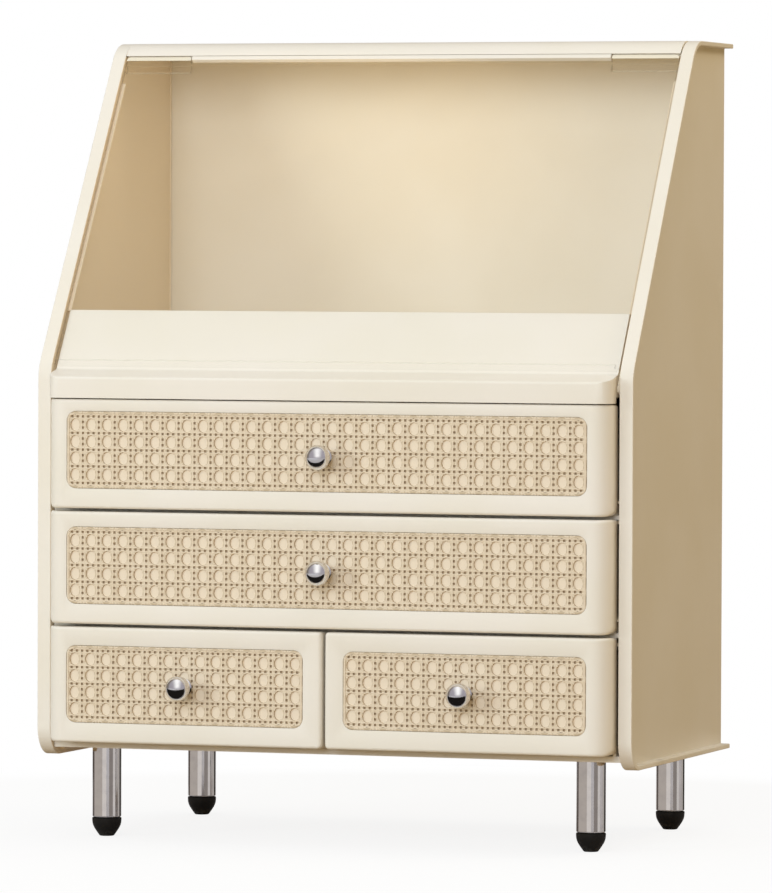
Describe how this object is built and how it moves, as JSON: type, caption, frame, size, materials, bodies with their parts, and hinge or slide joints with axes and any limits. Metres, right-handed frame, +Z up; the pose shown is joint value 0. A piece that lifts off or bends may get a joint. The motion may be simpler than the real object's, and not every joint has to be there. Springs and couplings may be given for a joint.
{
  "type": "dustproof makeup organizer",
  "caption": "Slope-fronted makeup organizer on legs, with cane-pattern drawers below an open compartment behind a clear hinged lid.",
  "frame": {"origin": "on the floor, under the middle of the whole object's width and depth, knobs included", "axes": "+Z up, front towards -Y, +X to the right seen from the front"},
  "size_m": [0.3, 0.1958, 0.387],
  "materials": {
    "cream_shell": "satin moulded plastic",
    "cane_panel": "moulded cane relief",
    "clear_lid": "clear plastic sheet",
    "chrome": "polished",
    "steel": "zinc plated",
    "black_tip": "moulded"
  },
  "bodies": {
    "case": {"left_side_panel": "cream_shell", "right_side_panel": "cream_shell", "top_panel": "cream_shell", "back_panel": "cream_shell", "base_panel": "cream_shell", "lower_shelf": "cream_shell", "upper_shelf": "cream_shell", "drawer_partition": "cream_shell", "compartment_tray": "cream_shell", "leg_front_left": "chrome", "leg_front_right": "chrome", "leg_rear_left": "chrome", "leg_rear_right": "chrome", "foot_tip_front_left": "black_tip", "foot_tip_front_right": "black_tip", "foot_tip_rear_left": "black_tip", "foot_tip_rear_right": "black_tip", "leg_screw_front_left": "steel", "leg_screw_front_right": "steel", "leg_screw_rear_left": "steel", "leg_screw_rear_right": "steel"},
    "lid": {"dust_lid": "clear_lid"},
    "top_drawer": {"top_drawer_box": "cream_shell", "top_drawer_front": "cream_shell", "top_drawer_cane_panel": "cane_panel", "top_drawer_knob": "chrome", "top_drawer_knob_screw": "steel"},
    "middle_drawer": {"middle_drawer_box": "cream_shell", "middle_drawer_front": "cream_shell", "middle_drawer_cane_panel": "cane_panel", "middle_drawer_knob": "chrome", "middle_drawer_knob_screw": "steel"},
    "left_drawer": {"left_drawer_box": "cream_shell", "left_drawer_front": "cream_shell", "left_drawer_cane_panel": "cane_panel", "left_drawer_knob": "chrome", "left_drawer_knob_screw": "steel"},
    "right_drawer": {"right_drawer_box": "cream_shell", "right_drawer_front": "cream_shell", "right_drawer_cane_panel": "cane_panel", "right_drawer_knob": "chrome", "right_drawer_knob_screw": "steel"}
  },
  "joints": [
    {"name": "lid_hinge", "type": "hinge", "parent": "case", "child": "lid", "pos_m": [0, 0.02755, 0.37385], "axis": [-1, 0, 0], "range_deg": [0, 110]},
    {"name": "top_drawer_slide", "type": "slide", "parent": "case", "child": "top_drawer", "axis": [0, -1, 0], "range_m": [0, 0.12]},
    {"name": "middle_drawer_slide", "type": "slide", "parent": "case", "child": "middle_drawer", "axis": [0, -1, 0], "range_m": [0, 0.12]},
    {"name": "left_drawer_slide", "type": "slide", "parent": "case", "child": "left_drawer", "axis": [0, -1, 0], "range_m": [0, 0.12]},
    {"name": "right_drawer_slide", "type": "slide", "parent": "case", "child": "right_drawer", "axis": [0, -1, 0], "range_m": [0, 0.12]}
  ]
}
